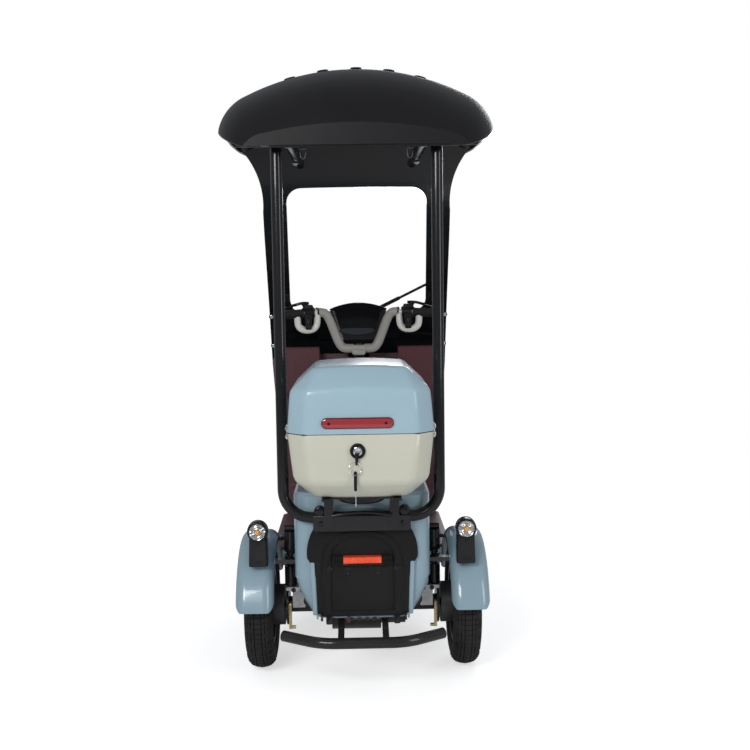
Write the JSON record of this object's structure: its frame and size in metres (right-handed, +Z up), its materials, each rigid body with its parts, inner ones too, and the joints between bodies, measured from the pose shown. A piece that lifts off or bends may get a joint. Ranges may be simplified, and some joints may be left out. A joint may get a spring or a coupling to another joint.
{
  "type": "electric tricycle",
  "caption": "Electric tricycle with one steered front wheel, windscreen, tube hoop, rain roof and a lockable top box behind the seat.",
  "frame": {"origin": "on the ground below the middle of the whole vehicle", "axes": "+Z up, +Y forward, +X to the vehicle's right"},
  "size_m": [0.8604, 1.7762, 1.8491],
  "materials": {
    "blue": "gloss light blue paint",
    "black_tube": "black powder coat",
    "black_plastic": "moulded black plastic",
    "gloss_black": "gloss black plastic",
    "burgundy": "burgundy plastic",
    "cream": "cream plastic",
    "blue_plastic": "light blue plastic",
    "bar_paint": "light grey-cream paint",
    "rubber": "black rubber",
    "tyre": "tyre rubber",
    "rim": "silver paint",
    "steel": "galvanised steel",
    "zinc": "yellow zinc plate",
    "red_lens": "red lens",
    "clear_lens": "clear lens over an amber bulb",
    "glass": "clear pane",
    "vinyl": "black vinyl",
    "chrome": "chrome"
  },
  "bodies": {
    "chassis": {"rear_axle": "black_tube", "spring_perch_left": "steel", "spring_perch_right": "steel", "shock_left": "steel", "shock_right": "steel", "brake_lever_left": "zinc", "brake_lever_right": "zinc", "rear_fender_left": "blue", "rear_fender_right": "blue", "indicator_left": "black_plastic", "indicator_right": "black_plastic", "indicator_lens_left": "clear_lens", "indicator_lens_right": "clear_lens", "body_shell": "blue", "rear_panel": "black_plastic", "tail_lamp": "red_lens", "main_frame": "black_tube", "battery": "black_plastic", "floorboard": "burgundy", "floor_skirt": "blue", "leg_shield": "burgundy", "front_cowl": "blue", "headlamp": "clear_lens", "front_indicators": "clear_lens", "windscreen_frame": "gloss_black", "windscreen_glass": "glass", "wiper_motor": "black_plastic", "roof": "gloss_black", "roof_hoop": "black_tube", "box_rack": "black_tube", "box_base": "cream", "box_lock": "chrome", "rear_bumper": "black_tube"},
    "steering": {"fork": "black_tube", "front_fender": "blue", "handlebar": "bar_paint", "bar_clamp": "black_tube", "grip_left": "rubber", "grip_right": "rubber", "controls_left": "black_plastic", "controls_right": "black_plastic", "instrument_hood": "black_plastic"},
    "front_wheel": {"front_tyre": "tyre", "front_rim": "rim"},
    "rear_wheel_left": {"rear_tyre_left": "tyre", "rear_rim_left": "rim"},
    "rear_wheel_right": {"rear_tyre_right": "tyre", "rear_rim_right": "rim"},
    "box_lid": {"box_lid": "blue_plastic", "box_reflector": "red_lens"},
    "seat": {"seat_pan": "black_plastic", "seat_pad": "vinyl"},
    "wiper": {"wiper": "black_plastic"}
  },
  "joints": [
    {"name": "steer", "type": "hinge", "parent": "chassis", "child": "steering", "pos_m": [0, 0.41015, 0.937], "axis": [0, -0.342, 0.9397], "range_deg": [-32, 32]},
    {"name": "front_wheel_spin", "type": "hinge", "parent": "steering", "child": "front_wheel", "pos_m": [0, 0.70015, 0.188], "axis": [1, 0, 0], "continuous": true},
    {"name": "rear_wheel_left_spin", "type": "hinge", "parent": "chassis", "child": "rear_wheel_left", "pos_m": [-0.31, -0.36485, 0.188], "axis": [1, 0, 0], "continuous": true},
    {"name": "rear_wheel_right_spin", "type": "hinge", "parent": "chassis", "child": "rear_wheel_right", "pos_m": [0.31, -0.36485, 0.188], "axis": [1, 0, 0], "continuous": true},
    {"name": "box_lid_hinge", "type": "hinge", "parent": "chassis", "child": "box_lid", "pos_m": [0, -0.49155, 0.7905], "axis": [-1, 0, 0], "range_deg": [0, 80]},
    {"name": "seat_hinge", "type": "hinge", "parent": "chassis", "child": "seat", "pos_m": [0, -0.05085, 0.59], "axis": [-1, 0, 0], "range_deg": [0, 70]},
    {"name": "wiper_sweep", "type": "hinge", "parent": "chassis", "child": "wiper", "pos_m": [0.02, 0.57453, 1.04447], "axis": [0, -0.9636, -0.2672], "range_deg": [0, 120]}
  ]
}
